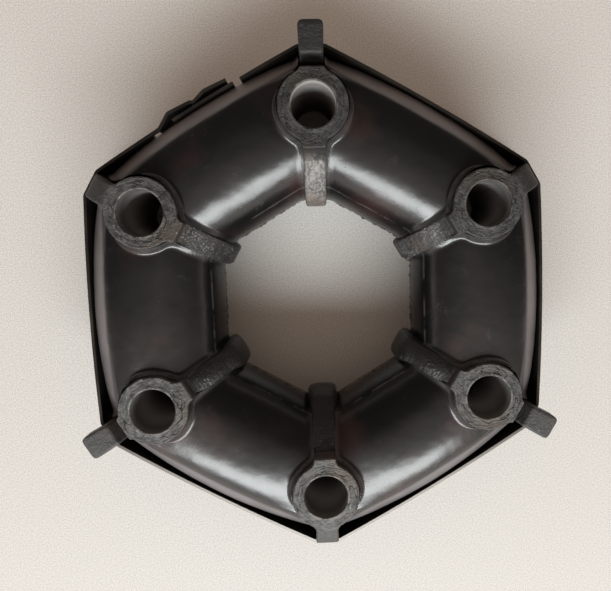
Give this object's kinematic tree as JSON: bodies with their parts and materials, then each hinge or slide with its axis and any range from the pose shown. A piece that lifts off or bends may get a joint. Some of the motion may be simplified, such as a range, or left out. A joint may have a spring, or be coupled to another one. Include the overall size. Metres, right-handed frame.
{
  "type": "shaft coupling",
  "caption": "Hexagonal rubber shaft coupling: rubber blocks bonded between cast bolt sleeves, held in compression by a steel strap.",
  "frame": {"origin": "on the coupling's axis, in the plane of the sleeves' lower end faces", "axes": "+Z along the coupling's axis; +Y through the bolt sleeve of cast_insert_1, whose horn is on the +Z side"},
  "size_m": [0.136, 0.1538, 0.042],
  "materials": {
    "cast_iron": "dark cast skin with a thin rubber film, bare turned bore",
    "black_rubber": "glossy moulded black",
    "strap_steel": "dark blued strip with bright cut edges"
  },
  "bodies": {
    "root": {"cast_insert_1": "cast_iron", "cast_insert_2": "cast_iron", "cast_insert_3": "cast_iron", "cast_insert_4": "cast_iron", "cast_insert_5": "cast_iron", "cast_insert_6": "cast_iron", "rubber_block_1": "black_rubber", "rubber_block_2": "black_rubber", "rubber_block_3": "black_rubber", "rubber_block_4": "black_rubber", "rubber_block_5": "black_rubber", "rubber_block_6": "black_rubber", "retaining_strap": "strap_steel"}
  },
  "joints": []
}
